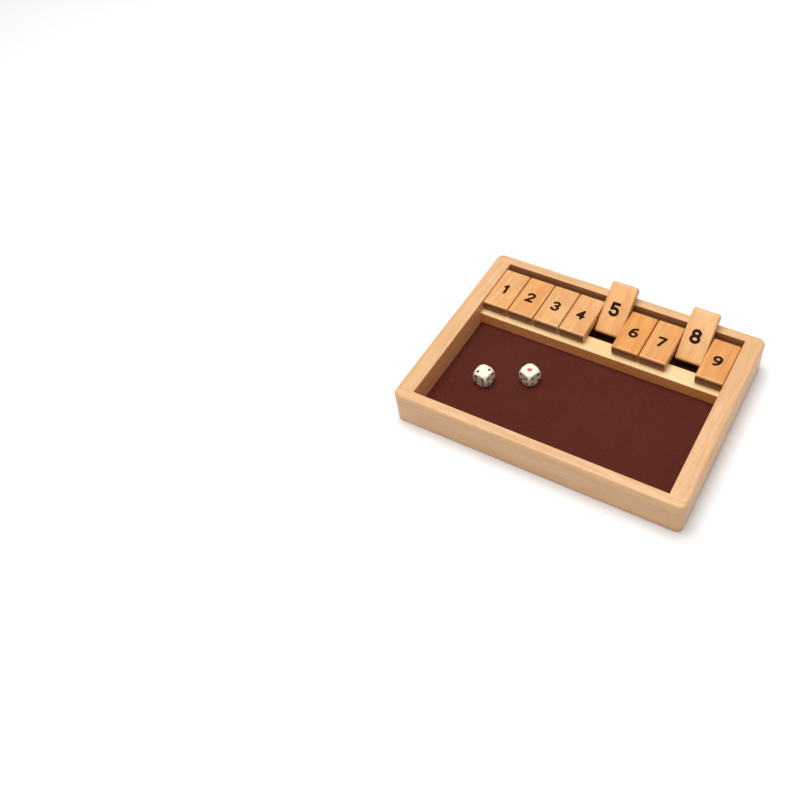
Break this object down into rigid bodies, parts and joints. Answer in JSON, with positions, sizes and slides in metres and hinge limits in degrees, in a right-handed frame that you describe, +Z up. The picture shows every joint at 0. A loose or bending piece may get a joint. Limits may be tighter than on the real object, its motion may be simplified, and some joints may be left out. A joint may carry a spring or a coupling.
{
  "type": "shut the box game",
  "caption": "Shallow wooden dice tray lined with felt, with a row of numbered tiles that turn over on a hidden rod, and two loose dice.",
  "frame": {"origin": "middle of the whole part's box in plan, on the surface that the box stands on", "axes": "+X to the right along the row of tiles (tile 1 to tile 9), +Y from the dice tray to the tiles, +Z up"},
  "size_m": [0.24, 0.1782, 0.0437],
  "materials": {
    "rail_wood": "satin varnished light hardwood with fine straight grain",
    "ledge_wood": "satin varnished light hardwood",
    "tile_wood": "satin varnished light hardwood with burned-in numbers",
    "plywood": "raw birch plywood",
    "dowel_wood": "raw wood",
    "felt": "dark reddish brown pressed felt",
    "rod_steel": "drawn steel",
    "die_wood": "pale fine-grained wood, rounded, with painted pips"
  },
  "bodies": {
    "box": {"front_rail": "rail_wood", "back_rail": "rail_wood", "left_rail": "rail_wood", "right_rail": "rail_wood", "tile_ledge": "ledge_wood", "floor_panel": "plywood", "felt_mat": "felt", "tile_rod": "rod_steel", "corner_dowels": "dowel_wood"},
    "tile_1": {"tile_1": "tile_wood"},
    "tile_2": {"tile_2": "tile_wood"},
    "tile_3": {"tile_3": "tile_wood"},
    "tile_4": {"tile_4": "tile_wood"},
    "tile_5": {"tile_5": "tile_wood"},
    "tile_6": {"tile_6": "tile_wood"},
    "tile_7": {"tile_7": "tile_wood"},
    "tile_8": {"tile_8": "tile_wood"},
    "tile_9": {"tile_9": "tile_wood"},
    "die_left": {"die_left": "die_wood"},
    "die_right": {"die_right": "die_wood"}
  },
  "joints": [
    {"name": "turn_tile_1", "type": "hinge", "parent": "box", "child": "tile_1", "pos_m": [-0.09333, 0.0611, 0.0245], "axis": [-1, 0, 0], "range_deg": [0, 145.9]},
    {"name": "turn_tile_2", "type": "hinge", "parent": "box", "child": "tile_2", "pos_m": [-0.07, 0.0611, 0.0245], "axis": [-1, 0, 0], "range_deg": [0, 145.9]},
    {"name": "turn_tile_3", "type": "hinge", "parent": "box", "child": "tile_3", "pos_m": [-0.04667, 0.0611, 0.0245], "axis": [-1, 0, 0], "range_deg": [0, 145.9]},
    {"name": "turn_tile_4", "type": "hinge", "parent": "box", "child": "tile_4", "pos_m": [-0.02333, 0.0611, 0.0245], "axis": [-1, 0, 0], "range_deg": [0, 145.9]},
    {"name": "turn_tile_5", "type": "hinge", "parent": "box", "child": "tile_5", "pos_m": [0, 0.0611, 0.0245], "axis": [-1, 0, 0], "range_deg": [-145.9, 0]},
    {"name": "turn_tile_6", "type": "hinge", "parent": "box", "child": "tile_6", "pos_m": [0.02333, 0.0611, 0.0245], "axis": [-1, 0, 0], "range_deg": [0, 145.9]},
    {"name": "turn_tile_7", "type": "hinge", "parent": "box", "child": "tile_7", "pos_m": [0.04667, 0.0611, 0.0245], "axis": [-1, 0, 0], "range_deg": [0, 145.9]},
    {"name": "turn_tile_8", "type": "hinge", "parent": "box", "child": "tile_8", "pos_m": [0.07, 0.0611, 0.0245], "axis": [-1, 0, 0], "range_deg": [-145.9, 0]},
    {"name": "turn_tile_9", "type": "hinge", "parent": "box", "child": "tile_9", "pos_m": [0.09333, 0.0611, 0.0245], "axis": [-1, 0, 0], "range_deg": [0, 145.9]},
    {"name": "lift_die_left", "type": "slide", "parent": "box", "child": "die_left", "axis": [0, 0, 1], "range_m": [0, 0.06]},
    {"name": "lift_die_right", "type": "slide", "parent": "box", "child": "die_right", "axis": [0, 0, 1], "range_m": [0, 0.06]}
  ]
}
